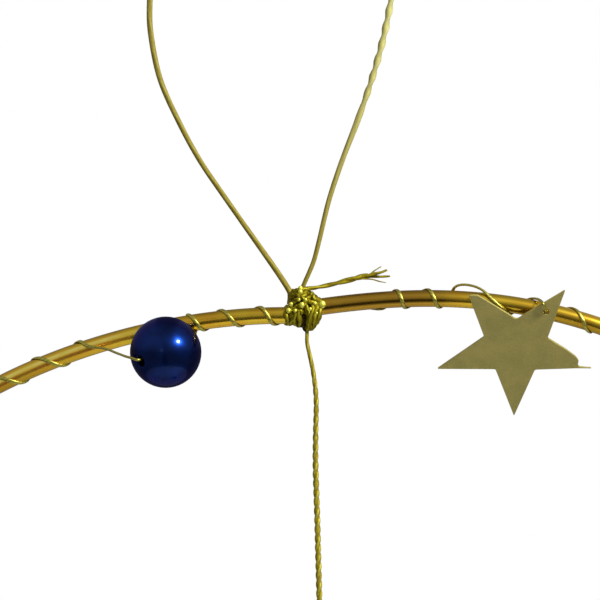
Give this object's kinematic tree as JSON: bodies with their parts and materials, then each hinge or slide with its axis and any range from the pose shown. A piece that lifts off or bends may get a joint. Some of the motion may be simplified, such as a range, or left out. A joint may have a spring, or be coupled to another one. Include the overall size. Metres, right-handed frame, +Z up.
{
  "type": "hanging mobile",
  "caption": "Hanging mobile: a gold wire hoop wound with thread that carries round beads and flat stars, with a cord loop to hang it by and a pendant inside.",
  "frame": {"origin": "the inner top of the hanging loop, where a hook goes", "axes": "+Z up, +X to the viewer's right; the hoop lies in the XZ plane and its decorated front faces -Y"},
  "size_m": [0.2587, 0.0236, 0.3321],
  "materials": {
    "gold_rod": "polished gold",
    "gold_thread": "satin gold wire thread",
    "gold_cord": "twisted metallic yarn",
    "blue_pearl": "dark blue pearl lacquer",
    "gold_card": "matte olive gold"
  },
  "bodies": {
    "root": {"hoop": "gold_rod", "winding_thread": "gold_thread", "lashing": "gold_cord", "hanging_loop": "gold_cord", "pendant_cord": "gold_cord", "pendant_bead": "blue_pearl", "pendant_tie": "gold_cord", "pendant_star": "gold_card", "bead_1": "blue_pearl", "star_1": "gold_card", "bead_2": "blue_pearl", "star_2": "gold_card", "bead_3": "blue_pearl", "star_3": "gold_card", "bead_4": "blue_pearl", "star_4": "gold_card", "bead_5": "blue_pearl", "star_5": "gold_card", "bead_6": "blue_pearl", "star_6": "gold_card"}
  },
  "joints": []
}
